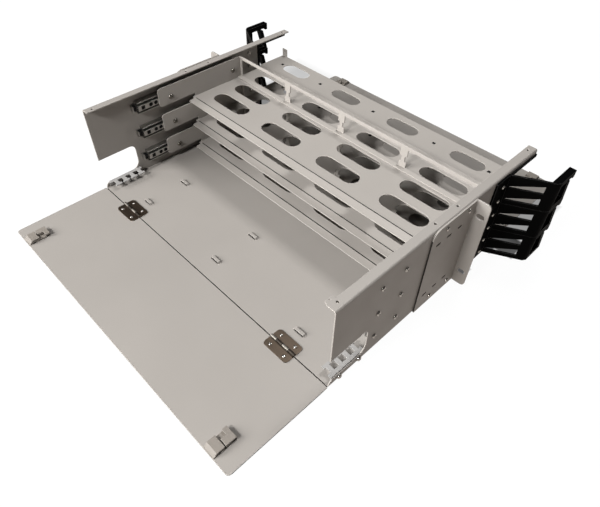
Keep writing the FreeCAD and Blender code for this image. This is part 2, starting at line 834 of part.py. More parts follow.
def make_tray(label, level):
    body = new_body(label, floor_height(level))
    sheet_down = size.tray_sheet
    shelf = size.tray_ramp_rise
    ramp_end = size.tray_floor_front + size.tray_ramp_run
    droop = size.tray_hem_droop
    add(body, "YZ", -tray_half, tray_half, [
        (size.tray_hem_rear, -droop), (size.tray_hem_rear, sheet_down - droop),
        (size.tray_hem_front, sheet_down), (size.tray_hem_front, 0), (size.tray_floor_front, 0),
        (ramp_end, shelf), (size.tray_front, shelf), (size.tray_front, shelf - sheet_down),
        (ramp_end, shelf - sheet_down), (size.tray_floor_front, -sheet_down), (size.tray_hem_front, -sheet_down),
    ])
    hem_half = tray_half - size.tray_hem_inset
    cut(body, "XY", -sheet_down - droop - PAST, sheet_down + PAST, *[
        box(side * hem_half, size.tray_hem_rear - PAST, side * (tray_half + PAST), size.tray_hem_front)
        for _, side in SIDES
    ])
    bend = size.tray_wall_round
    top = size.tray_wall_height
    wall = [
        *eased(size.tray_wall_rear, size.tray_wall_lift, -1, -1, bend)[::-1],
        (size.tray_wall_foot, size.tray_wall_lift), (size.tray_wall_foot, -sheet_down),
        (frame_back, -sheet_down), (frame_back, top), *eased(size.tray_wall_rear, top, -1, 1, bend),
    ]
    for _, side in SIDES:
        low, high = span(side, tray_inner, tray_half)
        add(body, "YZ", low, high, wall)
    add(body, "XZ", size.tray_front - sheet_down, size.tray_front, *[
        box(side * (tray_half - size.tray_tab_width), shelf - sheet_down, side * tray_half,
            shelf + size.tray_tab_height)
        for _, side in SIDES
    ])
    bay = (1 - BAYS) / 2 * size.bay_pitch
    slots = [stepped_slot(bay, size.shelf_slot_row, size.shelf_slot_length, size.shelf_slot_width)]
    for row in range(3):
        place = size.tray_slot_first_row + row * size.tray_slot_row_pitch
        slots.append(stepped_slot(bay, place, size.tray_slot_length, size.tray_slot_width))
    step = cut(body, "XY", -sheet_down - PAST, shelf + PAST, *slots)
    repeat(body, step, "X", BAYS, size.bay_pitch)
    half = size.shelf_hole / 2
    places = [place * size.bay_pitch for place in POSTS] + [-size.shelf_end_hole, dim(0) + size.shelf_end_hole]
    cut(body, "XY", shelf - sheet_down - PAST, shelf + PAST, *[
        box(place - half, size.shelf_slot_row - half, place + half, size.shelf_slot_row + half) for place in places
    ])


def make_adapter_frame(label, level):
    body = new_body(label, floor_height(level))
    face = size.frame_position
    top = size.frame_height
    sill = top - size.frame_top_bar
    low_step, high_step = size.frame_step_low, size.frame_step_high
    end = tray_inner - size.frame_end_post
    outline = [(tray_inner, 0), (tray_inner, top), (-tray_inner, top), (-tray_inner, 0), (-end, 0), (-end, sill)]
    half = size.frame_post_width / 2
    slim = half - size.frame_post_step
    for place in POSTS:
        post = place * size.bay_pitch
        outline += [
            (post - half, sill), (post - half, high_step), (post - slim, high_step), (post - slim, low_step),
            (post - half, low_step), (post - half, 0), (post + half, 0), (post + half, low_step),
            (post + slim, low_step), (post + slim, high_step), (post + half, high_step), (post + half, sill),
        ]
    outline += [(end, sill), (end, 0)]
    add(body, "XZ", face, frame_back, outline)
    foot_rear = frame_back - size.frame_foot_depth
    add(body, "XY", 0, size.frame_sheet, box(-tray_inner, foot_rear, tray_inner, frame_back))
    notch = size.frame_foot_slot
    starts = [place * size.bay_pitch - size.frame_slot_offset - notch / 2 for place in POSTS]
    notches = [box(start, face - notch, start + notch, face) for start in starts]
    cut(body, "XY", -PAST, size.frame_sheet + PAST, *notches)


# Build every piece
make_chassis()
for side_name, sign in SIDES:
    make_ear_bracket(f"{side_name}_ear_bracket", sign)
    make_comb(f"{side_name}_cable_comb", sign)
    make_trim(f"{side_name}_edge_trim", sign)
    for level_name, step_up in LEVELS:
        make_guide(f"{side_name}_{level_name}_cable_guide", sign, step_up)
        make_slide(f"{side_name}_{level_name}", sign, step_up)
for end_name, way in ENDS:
    make_door({"rear": "rear_flap", "front": "front_door"}[end_name], way)
    make_hinge_pins(f"{end_name}_hinge_pins", way)
    for side_name, sign in SIDES:
        make_hinge_leaf(f"{end_name}_{side_name}_fixed_leaf", way, sign, False)
        make_hinge_leaf(f"{end_name}_{side_name}_moving_leaf", way, sign, True)
        make_latch(f"{end_name}_{side_name}_latch", way, sign)
for level_name, step_up in LEVELS:
    make_tray(f"{level_name}_tray", step_up)
    make_adapter_frame(f"{level_name}_adapter_frame", step_up)
doc.recompute()

# Stop on any fault before a file is written
for item in doc.Objects:
    faults = [state for state in item.State if state in ("Invalid", "Error")]
    if faults:
        raise RuntimeError(f"{item.Label}: {faults}")
for node in nodes:
    if node.Shape.isNull() or not node.Shape.isValid():
        raise RuntimeError(f"{node.Label}: no valid shape")

os.makedirs("parts", exist_ok=True)
for node in nodes:
    node.Shape.exportStep(f"parts/{node.Label}.step")
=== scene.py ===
"""Dress the packed fibre patch panel: coatings, fasteners, edging and soft studio light."""
import math

import bmesh
import bpy
from mathutils import Matrix, Vector


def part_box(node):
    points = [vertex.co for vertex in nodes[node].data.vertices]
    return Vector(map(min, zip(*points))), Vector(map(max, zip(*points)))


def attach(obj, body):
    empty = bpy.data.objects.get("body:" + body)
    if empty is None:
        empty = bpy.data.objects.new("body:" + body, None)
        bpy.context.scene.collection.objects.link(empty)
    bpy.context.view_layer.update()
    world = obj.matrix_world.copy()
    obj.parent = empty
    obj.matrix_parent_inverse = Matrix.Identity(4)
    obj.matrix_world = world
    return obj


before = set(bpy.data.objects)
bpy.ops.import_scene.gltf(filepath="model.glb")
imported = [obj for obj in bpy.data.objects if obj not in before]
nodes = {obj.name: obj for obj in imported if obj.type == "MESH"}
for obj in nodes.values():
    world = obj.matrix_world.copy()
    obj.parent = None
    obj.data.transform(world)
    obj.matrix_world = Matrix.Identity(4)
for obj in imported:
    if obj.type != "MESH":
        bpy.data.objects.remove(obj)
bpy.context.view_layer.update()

MM = 0.001
SIDES = (("left", -1), ("right", 1))
ENDS = (("rear", -1), ("front", 1))
DOORS = {"rear": "rear_flap", "front": "front_door"}
LEVELS = ("bottom", "middle", "top")
X, Z = Vector((1, 0, 0)), Vector((0, 0, 1))


# ---------------------------------------------------------------- finishes

class Finish:
    """A node material whose textures follow the part's own metres."""

    def __init__(self, name, **settings):
        self.material = bpy.data.materials.new(name)
        self.material.use_nodes = True
        self.nodes = self.material.node_tree.nodes
        self.links = self.material.node_tree.links
        self.shader = self.nodes["Principled BSDF"]
        for setting, value in settings.items():
            self.shader.inputs[setting.replace("_", " ")].default_value = value
        self.place = self.nodes.new("ShaderNodeTexCoord").outputs["Object"]

    def noise(self, across, detail=2.0, stretch=(1, 1, 1)):
        """Noise with features about this many metres across, drawn out along an axis by stretch."""
        scale = self.nodes.new("ShaderNodeMapping")
        scale.inputs["Scale"].default_value = [1 / (across * s) for s in stretch]
        texture = self.nodes.new("ShaderNodeTexNoise")
        texture.inputs["Scale"].default_value = 1
        texture.inputs["Detail"].default_value = detail
        self.links.new(self.place, scale.inputs["Vector"])
        self.links.new(scale.outputs["Vector"], texture.inputs["Vector"])
        return texture.outputs["Fac"]

    def between(self, factor, low, high, over=(0.3, 0.7)):
        """A number from low to high as the factor goes over a range, by default the middle of a noise."""
        ramp = self.nodes.new("ShaderNodeMapRange")
        for socket, value in zip(("From Min", "From Max", "To Min", "To Max"), (*over, low, high)):
            ramp.inputs[socket].default_value = value
        self.links.new(factor, ramp.inputs["Value"])
        return ramp.outputs["Result"]

    def mixed(self, factor, first, second):
        """A colour from first to second; first may be another mix."""
        mix = self.nodes.new("ShaderNodeMix")
        mix.data_type = "RGBA"
        self.links.new(factor, mix.inputs["Factor"])
        for socket, colour in (("A", first), ("B", second)):
            place = next(i for i in mix.inputs if i.name == socket and i.type == "RGBA")
            if isinstance(colour, bpy.types.NodeSocket):
                self.links.new(colour, place)
            else:
                place.default_value = (*colour, 1)
        return next(o for o in mix.outputs if o.type == "RGBA")

    def calculate(self, operation, first, second=0.0):
        """A Math node on a socket and a number or another socket."""
        node = self.nodes.new("ShaderNodeMath")
        node.operation = operation
        self.links.new(first, node.inputs[0])
        if isinstance(second, bpy.types.NodeSocket):
            self.links.new(second, node.inputs[1])
        else:
            node.inputs[1].default_value = second
        return node.outputs[0]

    def drive(self, socket, output):
        """Feed one of the shader's sockets."""
        self.links.new(output, self.shader.inputs[socket])

    def relief(self, height, depth):
        """Raise the surface by the noise, this many metres at most."""
        bump = self.nodes.new("ShaderNodeBump")
        bump.inputs["Strength"].default_value = 1
        bump.inputs["Distance"].default_value = depth
        self.links.new(height, bump.inputs["Height"])
        self.drive("Normal", bump.outputs["Normal"])


def shade(colour, factor):
    """A colour made darker or paler by a factor."""
    return tuple(c * factor for c in colour)


def coated(name, colour, rough=(0.42, 0.54)):
    """Powder coat: orange peel, faint cloudiness and a fine speckle."""
    cloud_width, speckle_width, sheen_width, peel_width = 160 * MM, 0.5 * MM, 45 * MM, 0.9 * MM
    darker, paler, speckled, peel_depth = 0.96, 1.04, 0.9, 0.03 * MM
    finish = Finish(name, Specular_IOR_Level=0.25)
    cloud = finish.between(finish.noise(cloud_width, detail=3), 0, 1)
    speckle = finish.between(finish.noise(speckle_width, detail=1), 0, 0.5)
    base = finish.mixed(cloud, shade(colour, darker), shade(colour, paler))
    finish.drive("Base Color", finish.mixed(speckle, base, shade(colour, speckled)))
    finish.drive("Roughness", finish.between(finish.noise(sheen_width, detail=4), *rough))
    finish.relief(finish.noise(peel_width, detail=1), peel_depth)
    return finish.material


def rolled(name, colour, rough, grain):
    """Bare or plated metal with a rolling grain drawn out along one axis."""
    tarnish_width, line_width, sheen_width = 14 * MM, 0.35 * MM, 9 * MM
    tarnished, lined, line_depth = 0.86, 0.8, 0.012 * MM
    finish = Finish(name, Metallic=1.0)
    tarnish = finish.between(finish.noise(tarnish_width, detail=4), 0, 1)
    line = finish.noise(line_width, stretch=grain)
    base = finish.mixed(tarnish, shade(colour, tarnished), colour)
    finish.drive("Base Color", finish.mixed(finish.between(line, 0, 0.6), base, shade(colour, lined)))
    finish.drive("Roughness", finish.between(finish.noise(sheen_width, detail=3, stretch=grain), *rough))
    finish.relief(line, line_depth)
    return finish.material


def moulded(name, colour, rough, gloss=0.5):
    """Moulded plastic or rubber with an eroded tool texture and rubbed patches."""
    worn_width, grain_width, sheen_width = 30 * MM, 0.45 * MM, 18 * MM
    darker, paler, grained, grain_depth = 0.9, 1.1, 0.75, 0.03 * MM
    finish = Finish(name, Specular_IOR_Level=gloss)
    worn = finish.between(finish.noise(worn_width, detail=4), 0, 1)
    base = finish.mixed(worn, shade(colour, darker), shade(colour, paler))
    grain = finish.noise(grain_width)
    finish.drive("Base Color", finish.mixed(finish.between(grain, 0, 0.35), base, shade(colour, grained)))
    finish.drive("Roughness", finish.between(finish.noise(sheen_width, detail=4), *rough))
    finish.relief(grain, grain_depth)
    return finish.material


COAT_GREY = (0.276, 0.256, 0.235)
ALONG_X, ALONG_Y, ROUND = (40, 1, 1), (1, 40, 1), (1, 1, 1)

# the finish of each material slot, then those of single nodes, edges and small pieces
finishes = {
    "coated_sheet": coated("powder_coat", COAT_GREY),
    "slide_steel": rolled("zinc_plated_slide", (0.46, 0.45, 0.43), (0.26, 0.42), ALONG_Y),
    "hinge_steel": rolled("dark_hinge_steel", (0.15, 0.115, 0.087), (0.34, 0.48), ALONG_X),
    "latch_plastic": moulded("latch_moulding", (0.20, 0.178, 0.155), (0.42, 0.55)),
    "comb_plastic": moulded("comb_moulding", (0.285, 0.276, 0.266), (0.38, 0.52), gloss=0.3),
    "guide_plastic": moulded("guide_moulding", (0.001, 0.001, 0.001), (0.5, 0.65), gloss=0.015),
    "edge_trim": moulded("edging_rubber", (0.003, 0.003, 0.003), (0.6, 0.75), gloss=0.08),
}
tray_coat = coated("tray_powder_coat", shade(COAT_GREY, 1.1))
frame_coat = coated("frame_powder_coat", shade(COAT_GREY, 1.25))
# paler, glossier broken edges of the coat: partly thinned coat, partly a painted highlight
edge_wear_and_highlight = coated("powder_coat_edge", shade(COAT_GREY, 1.3), (0.34, 0.44))
guide_edge = moulded("guide_edge", (0.003, 0.003, 0.003), (0.36, 0.48), gloss=0.22)
# a near-black steel for the ball cages
cage_finish = rolled("dark_ball_cage", (0.05, 0.048, 0.045), (0.35, 0.5), ALONG_Y)
# black rubber for the slide bumpers, also used for the painted shade in the rail and shelf holes
stop_rubber_and_dish_shade = moulded("stop_rubber_and_dish_shade", (0.006, 0.006, 0.006), (0.5, 0.65), gloss=0.15)
# painted shade: a near-black coat for thin films laid where shadow falls on edges, slots, pockets and gaps
painted_shade_coat = coated("shadow_film", shade(COAT_GREY, 0.12), (0.7, 0.8))
dark_screw = rolled("dark_screw", (0.15, 0.14, 0.125), (0.24, 0.36), ROUND)
screw_finish = rolled("plated_screw", (0.46, 0.44, 0.41), (0.18, 0.3), ROUND)
tray_screw_finish = rolled("tray_screw", (0.23, 0.215, 0.19), (0.2, 0.3), ROUND)
# lit and shaded copies of the hinge steel for the knuckle sleeves: a painted highlight and a painted shade
knuckle_painted_highlight = rolled("lit_knuckle_paint", (0.2, 0.185, 0.165), (0.42, 0.55), ALONG_X)
knuckle_painted_shade = rolled("shaded_knuckle_paint", (0.045, 0.038, 0.032), (0.45, 0.6), ALONG_X)
rivet_finish = rolled("bright_rivet", (0.55, 0.53, 0.50), (0.2, 0.32), ROUND)


# ---------------------------------------------------------------- softened edges on the solids

EDGE_WIDTH = {
    "coated_sheet": 0.3 * MM, "slide_steel": 0.15 * MM, "hinge_steel": 0.15 * MM, "latch_plastic": 0.35 * MM,
    "comb_plastic": 0.3 * MM, "guide_plastic": 0.4 * MM, "edge_trim": 0.25 * MM,
}
TRAY_EDGE_WIDTH = 0.25 * MM
EDGE_STEPS = 2
SHARP = math.radians(40)
SHARP_ON_TRAYS = math.radians(15)
FLAT = math.radians(0.3)
WELD = 0.002 * MM
EDGE_FINISH = {"coated_sheet": edge_wear_and_highlight, "guide_plastic": guide_edge}
OWN_FINISH = (("_ball_retainer", cage_finish), ("_tray", tray_coat), ("_adapter_frame", frame_coat))
# a broken edge keeps the finish of its faces, or takes the node's second one
AS_FACES, SECOND = -1, 1


def smooth_shading():
    """A node group that shades every face smooth, for use as a modifier."""
    group = bpy.data.node_groups.new("smooth_shading", "GeometryNodeTree")
    for way in ("INPUT", "OUTPUT"):
        group.interface.new_socket("Geometry", in_out=way, socket_type="NodeSocketGeometry")
    start, smooth, end = (group.nodes.new(kind) for kind in
                          ("NodeGroupInput", "GeometryNodeSetShadeSmooth", "NodeGroupOutput"))
    group.links.new(start.outputs[0], smooth.inputs["Geometry"])
    group.links.new(smooth.outputs[0], end.inputs[0])
    return group


all_smooth = smooth_shading()


def soften(node, width, sharp, edge_slot):
    """Break the sharp edges of a solid, as the coat or the mould does."""
    weld = node.modifiers.new("weld", "WELD")
    weld.merge_threshold = WELD
    flat = node.modifiers.new("flat", "DECIMATE")
    flat.decimate_type = "DISSOLVE"
    flat.angle_limit = FLAT
    bevel = node.modifiers.new("edges", "BEVEL")
    bevel.width = width
    bevel.segments = EDGE_STEPS
    bevel.limit_method = "ANGLE"
    bevel.angle_limit = sharp
    bevel.use_clamp_overlap = False
    bevel.material = edge_slot
    node.modifiers.new("smooth", "NODES").node_group = all_smooth
    node.modifiers.new("normals", "WEIGHTED_NORMAL")


def main_finish(name, slot):
    """The finish that a node has of its own, or else that of its slot."""
    for ending, finish in OWN_FINISH:
        if name.endswith(ending):
            return finish
    return finishes[slot]


for node in nodes.values():
    slot = node.data.materials[0].name
    node.data.materials.clear()
    node.data.materials.append(main_finish(node.name, slot))
    edge_slot = AS_FACES
    if slot in EDGE_FINISH:
        node.data.materials.append(EDGE_FINISH[slot])
        edge_slot = SECOND
    if node.name.endswith("_tray"):
        soften(node, TRAY_EDGE_WIDTH, SHARP_ON_TRAYS, edge_slot)
    else:
        soften(node, EDGE_WIDTH[slot], SHARP, edge_slot)


# ---------------------------------------------------------------- shapes and pieces

TURN_STEPS = 28


def turned(profile, steps=TURN_STEPS, closed=False):
    """A bmesh turned about Z from (radius, height) points, whose last is joined to the first if closed."""
    shape = bmesh.new()
    angles = [2 * math.pi * k / steps for k in range(steps)]
    rings = []
    for radius, height in profile:
        if radius == 0:
            rings.append([shape.verts.new((0, 0, height))] * steps)
        else:
            circle = [(radius * math.cos(angle), radius * math.sin(angle)) for angle in angles]
            rings.append([shape.verts.new((x, y, height)) for x, y in circle])
    for low, high in zip(rings, rings[1:] + rings[:1] if closed else rings[1:]):
        for k in range(steps):
            corners = [low[k - 1], low[k], high[k], high[k - 1]]
            shape.faces.new(list(dict.fromkeys(corners)))
    bmesh.ops.recalc_face_normals(shape, faces=shape.faces)
    return shape


def prism(shape, outline, start, stop, y=0.0, z=0.0, narrowed=(1, 1)):
    """Add a closed prism that runs along X from start to stop.

    Its outline lies in Y and Z about a point, and the factors narrow it at the stop.
    """
    ends = [[shape.verts.new((x, y + u * along_y, z + v * along_z)) for u, v in outline]
            for x, (along_y, along_z) in ((start, (1, 1)), (stop, narrowed))]
    faces = [shape.faces.new(end) for end in ends]
    for k in range(len(outline)):
        faces.append(shape.faces.new([ends[0][k - 1], ends[0][k], ends[1][k], ends[1][k - 1]]))
    bmesh.ops.recalc_face_normals(shape, faces=faces)


def oblong(u_first, u_last, v_first, v_last):
    """The four corners of a rectangle."""
    return (u_first, v_first), (u_last, v_first), (u_last, v_last), (u_first, v_last)


def rounded(half_u, half_v, radius, steps=4):
    """A rectangle about the origin with rounded corners."""
    outline = []
    for quarter, (u, v) in enumerate(((1, 1), (-1, 1), (-1, -1), (1, -1))):
        for step in range(steps + 1):
            angle = math.pi / 2 * (quarter + step / steps)
            outline.append((u * (half_u - radius) + radius * math.cos(angle),
                            v * (half_v - radius) + radius * math.sin(angle)))
    return outline


def to_mesh(shape, name):
    """A mesh from a bmesh, which is freed."""
    mesh = bpy.data.meshes.new(name)
    shape.to_mesh(mesh)
    shape.free()
    return mesh


def linked(name, data):
    """An object of the scene that shows a mesh, a light or a camera."""
    thing = bpy.data.objects.new(name, data)
    bpy.context.scene.collection.objects.link(thing)
    return thing


def finished(shape, name, body, finish):
    """Link a shape as a smooth-shaded piece that rides on a body."""
    for face in shape.faces:
        face.smooth = True
    mesh = to_mesh(shape, name)
    mesh.set_sharp_from_angle(angle=SHARP)
    mesh.materials.clear()
    mesh.materials.append(finish)
    piece = linked(name, mesh)
    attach(piece, body)


def scatter(name, template, places, body, finish):
    """One piece made of copies of a template; a place is a point, its outward direction and a turn."""
    group = bmesh.new()
    for point, outward, turn in places:
        stand = Z.rotation_difference(outward).to_matrix().to_4x4()
        matrix = Matrix.Translation(point) @ stand @ Matrix.Rotation(turn, 4, "Z")
        start = len(group.verts)
        group.from_mesh(template)
        group.verts.ensure_lookup_table()
        bmesh.ops.transform(group, matrix=matrix, verts=group.verts[start:])
    finished(group, name, body, finish)


# ---------------------------------------------------------------- fasteners

SEATED = 0.15 * MM
# shares of radius and height: how wide the foot is, then the rings up to the crown's middle
PAN_HEAD = 0.96, ((1, 0.12), (0.97, 0.4), (0.86, 0.7), (0.66, 0.9), (0.4, 0.98), (0, 1))
RIVET_HEAD = 1, ((1, 0.2), (0.93, 0.5), (0.74, 0.8), (0.46, 0.96), (0.3, 1), (0.26, 0.72), (0, 0.68))
SCREW_END = 1, ((1, 0.3), (0.9, 0.45), (0.62, 0.45), (0.6, 0.8), (0.5, 1), (0, 1))
# a cross recess: shares of the head's radius, how far its wings taper, and its share of the height
WING_REACH, WING_HALF, WING_TAPER, RECESS_DEPTH = 0.58, 0.16, (0.45, 0.8), 0.55
# a dish of painted shade in a hole, in millimetres: inset from the rim's radius, and height above the sheet
DISH = ((0.85, -1.1), (0.8, -0.02), (0, -0.02), (0.05, 0.05), (0.9, 0.03), (1, -0.95))
# a ring nut under a hole, in millimetres: radius, and height above the sheet's lower face
CLINCH_NUT = ((1.75, -0.05), (2.9, -0.05), (3.0, -0.3), (3.0, -1.7), (2.7, -2.0), (1.95, -2.0), (1.75, -1.8))
# each screw's recess is turned this much further than the one before
TURN_STEP = 0.71


def head(form, radius, height):
    """A head from its shares, standing a little into the sheet."""
    foot, crown = form
    return turned([(0, -SEATED), (foot * radius, -SEATED), *((r * radius, h * height) for r, h in crown)])


def crossed(solid_shape, radius, height):
    """Cut a cross recess with tapered wings into the top of a head."""
    reach, half, depth = WING_REACH * radius, WING_HALF * radius, RECESS_DEPTH * height
    cutter = bmesh.new()
    for quarter in range(2):
        turn = Matrix.Rotation(quarter * math.pi / 2, 4, "Z")
        corners = oblong(-reach, reach, -half, half)
        upper = [cutter.verts.new(turn @ Vector((x, y, height + depth))) for x, y in corners]
        lower = [cutter.verts.new(turn @ Vector((WING_TAPER[0] * x, WING_TAPER[1] * y, height - depth)))
                 for x, y in corners]
        cutter.faces.new(upper)
        cutter.faces.new(lower[::-1])
        for k in range(4):
            cutter.faces.new([upper[k - 1], lower[k - 1], lower[k], upper[k]])
        bmesh.ops.recalc_face_normals(cutter, faces=cutter.faces)
    block = linked("recess_cutter", to_mesh(cutter, "recess_cutter"))
    solid = linked("screw_head", to_mesh(solid_shape, "screw_head"))
    recess = solid.modifiers.new("recess", "BOOLEAN")
    recess.operation = "DIFFERENCE"
    recess.solver = "EXACT"
    recess.use_self = True
    recess.object = block
    done = bpy.data.meshes.new_from_object(solid.evaluated_get(bpy.context.evaluated_depsgraph_get()))
    bpy.data.objects.remove(solid)
    bpy.data.objects.remove(block)
    return done


def pan_head(radius, height):
    """A pan head screw seen from outside: low rim, rounded crown, cross recess."""
    return crossed(head(PAN_HEAD, radius, height), radius, height)


def shaded_dish(radius, steps=TURN_STEPS):
    """A dark dish of painted shade in a punched hole: its rim lies on the sheet and its bottom inside the
    hole.
    """
    rings = [(radius - inset * MM, height * MM) for inset, height in DISH]
    profile = [(0, rings[0][1]), *rings, (0, rings[-1][1])]
    corner = 1 / math.cos(math.pi / steps)
    return to_mesh(turned([(r * corner, h) for r, h in profile], steps), "shaded_dish")


def side_places(sign, x, pairs, outward=1, turn=None):
    """Places at (y, z) pairs on a face that looks out from the middle, or in with outward -1.

    Without a turn for all, each has a different but fixed one.
    """
    return [(Vector((sign * x, y, z)), outward * sign * X, k * TURN_STEP if turn is None else turn)
            for k, (y, z) in enumerate(pairs)]


SHEET, BRACKET_SHEET, GUIDE_PAD = 1.5 * MM, 2 * MM, 2.5 * MM
chassis_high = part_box("chassis")[1]
wall = chassis_high.x
wall_inside = wall - SHEET
slide_heights = [sum(corner.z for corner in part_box(f"left_{level}_outer_rail")) / 2 for level in LEVELS]
tray_floors = [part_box(f"{level}_adapter_frame")[0].z for level in LEVELS]
hinge_line = chassis_high.y

small_screw = pan_head(2.7 * MM, 1.9 * MM)
tray_screw = pan_head(3.8 * MM, 2.3 * MM)
slide_screw = pan_head(3.0 * MM, 2.2 * MM)
comb_screw = pan_head(3.3 * MM, 2.6 * MM)
rivet = to_mesh(head(RIVET_HEAD, 1.9 * MM, 1.0 * MM), "rivet_head")
press_nut = to_mesh(head(SCREW_END, 2.9 * MM, 2.0 * MM), "screw_end")
clinch_nut = to_mesh(turned([(r * MM, h * MM) for r, h in CLINCH_NUT], closed=True), "clinch_nut")
round_hole_shade = shaded_dish(2.95 * MM)
square_hole_shade, shelf_hole_shade = shaded_dish(2.85 * MM, steps=4), shaded_dish(2.2 * MM, steps=4)
# turns a dish of four steps so that its sides lie along the axes
SQUARED = math.pi / 4

SLIDE_SCREWS = (-107.5 * MM, -71 * MM)
BRACKET_SCREWS = ((-9 * MM, 121 * MM), (31 * MM, 121 * MM), (-6 * MM, 10 * MM), (29 * MM, 10 * MM))
GUIDE_SCREWS = 101 * MM
GUIDE_SCREW_HEIGHTS = (9.6 * MM, 30.7 * MM)
COMB_SCREWS = (-160 * MM, -129 * MM)
COMB_SCREW_HEIGHT = 5 * MM
for side, sign in SIDES:
    tiers = [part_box(f"{side}_{level}_cable_guide")[0].z for level in LEVELS]
    guide_pairs = [(GUIDE_SCREWS, z + h) for z in tiers for h in GUIDE_SCREW_HEIGHTS]
    groups = {
        "slide_screws": (slide_screw, wall, [(y, z) for z in slide_heights for y in SLIDE_SCREWS]),
        "comb_screws": (comb_screw, wall, [(y, COMB_SCREW_HEIGHT) for y in COMB_SCREWS]),
        "bracket_screws": (small_screw, wall + BRACKET_SHEET, BRACKET_SCREWS),
        "guide_screws": (small_screw, wall + GUIDE_PAD, guide_pairs),
    }
    for name, (template, face, pairs) in groups.items():
        places = side_places(sign, face, pairs)
        scatter(f"{side}_{name}", template, places, "chassis", screw_finish)
    nuts = side_places(sign, wall_inside, guide_pairs, outward=-1, turn=0)
    scatter(f"{side}_guide_press_nuts", press_nut, nuts, "chassis", screw_finish)

TRAY_SCREWS = (-53 * MM, 59 * MM)
TRAY_SCREW_RISE = 15 * MM
tray_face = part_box("bottom_adapter_frame")[1].x
for level, floor in zip(LEVELS, tray_floors):
    pairs = [(y, floor + TRAY_SCREW_RISE) for y in TRAY_SCREWS]
    places = [place for _, sign in SIDES for place in side_places(sign, tray_face, pairs, outward=-1)]
    scatter(f"{level}_tray_screws", tray_screw, places, f"{level}_tray", tray_screw_finish)

RAIL_DEPTH = 10 * MM
SQUARE_HOLES, ROUND_HOLES = (-97.5 * MM,), (-85.4 * MM, -77.3 * MM)
RAIL_HOLE_SHADES = (("square", square_hole_shade, SQUARE_HOLES, SQUARED), ("round", round_hole_shade, ROUND_HOLES, 0))
# dishes of painted shade in the holes of the inner rails
for level, height in zip(LEVELS, slide_heights):
    for label, template, ys, turn in RAIL_HOLE_SHADES:
        pairs = [(y, height) for y in ys]
        places = [place for _, sign in SIDES
                  for place in side_places(sign, wall_inside - RAIL_DEPTH, pairs, outward=-1, turn=turn)]
        scatter(f"{level}_{label}_rail_holes_shaded", template, places, f"{level}_tray",
                stop_rubber_and_dish_shade)

SHELF_RISE = 4 * MM
SHELF_HOLES = (-188 * MM, -104.5 * MM, 0, 104.5 * MM, 188 * MM)
SHELF_HOLE_ROW = 141.5 * MM
# dishes of painted shade in the holes of the tray shelves
for level, floor in zip(LEVELS, tray_floors):
    places = [(Vector((x, SHELF_HOLE_ROW, floor + SHELF_RISE)), Z, SQUARED) for x in SHELF_HOLES]
    scatter(f"{level}_shelf_holes_shaded", shelf_hole_shade, places, f"{level}_tray", stop_rubber_and_dish_shade)

RIVET_HALF_SPACING = 11 * MM
RIVET_SETBACK = 8.5 * MM
LEAF_TOP = 2.5 * MM
for end, way in ENDS:
    for part, body, beyond in (("fixed", "chassis", -way), ("moving", DOORS[end], way)):
        y = way * hinge_line + beyond * RIVET_SETBACK
        places = []
        for side, _ in SIDES:
            low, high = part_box(f"{end}_{side}_{part}_leaf")
            middle = (low.x + high.x) / 2
            places += [(Vector((middle + k * RIVET_HALF_SPACING, y, LEAF_TOP)), Z, 0) for k in (-1, 1)]
        scatter(f"{end}_{part}_hinge_rivets", rivet, places, body, rivet_finish)


# ---------------------------------------------------------------- bumpers, teeth, painted shade, knuckles, nuts

BUMPER_PLACE = -108.1 * MM
BUMPER_BACK, BUMPER_FRONT = 1.2 * MM, 6.6 * MM
BUMPER = rounded(2.4 * MM, 4.2 * MM, 1.3 * MM)
BUMPER_NARROWED = (0.75, 0.8)
for side, sign in SIDES:
    stops = bmesh.new()
    for height in slide_heights:
        prism(stops, BUMPER, sign * (wall_inside - BUMPER_BACK), sign * (wall_inside - BUMPER_FRONT),
              BUMPER_PLACE, height, BUMPER_NARROWED)
    finished(stops, f"{side}_slide_bumpers", "chassis", stop_rubber_and_dish_shade)

TOOTH_PITCH = 3.5 * MM
TOOTH_RISE = 0.45 * MM
TOOTH_NARROWED = (0.75, 0.75)
LYING_TOOTH = rounded(1.1 * MM, 1.45 * MM, 0.35 * MM, 2)
UPRIGHT_TOOTH = [(v, u) for u, v in LYING_TOOTH]
TRIM_MIDDLE = 1.75 * MM
UPRIGHT_START, UPRIGHT_TEETH = 2 * MM, 30
LYING_START, LYING_TEETH = 6 * MM, 15
for side, sign in SIDES:
    low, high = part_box(f"{side}_edge_trim")
    inner, outer = sorted((abs(low.x), abs(high.x)))
    rows = [(UPRIGHT_TOOTH, low.y + TRIM_MIDDLE, low.z + UPRIGHT_START + k * TOOTH_PITCH)
            for k in range(UPRIGHT_TEETH)]
    rows += [(LYING_TOOTH, low.y + LYING_START + k * TOOTH_PITCH, high.z - TRIM_MIDDLE)
             for k in range(LYING_TEETH)]
    teeth = bmesh.new()
    for outline, y, z in rows:
        for face, way in ((inner, -1), (outer, 1)):
            prism(teeth, outline, sign * (face - way * SEATED), sign * (face + way * TOOTH_RISE),
                  y, z, TOOTH_NARROWED)
    finished(teeth, f"{side}_edge_trim_teeth", "chassis", finishes["edge_trim"])

# a dark wedge of painted shadow in front of each tray's folded hem
HEM_HALF = 205.5 * MM
HEM_FRONT = -17 * MM
HEM_FOLD_SHADOW = (
    (0, 0.02 * MM), (2.3 * MM, 0.02 * MM), (2.1 * MM, 0.12 * MM), (0.6 * MM, 0.25 * MM), (0, 0.7 * MM),
)
for level, floor in zip(LEVELS, tray_floors):
    hem_shadow = bmesh.new()
    prism(hem_shadow, HEM_FOLD_SHADOW, -HEM_HALF, HEM_HALF, HEM_FRONT, floor)
    finished(hem_shadow, f"{level}_tray_hem_fold_shadow", f"{level}_tray", painted_shade_coat)
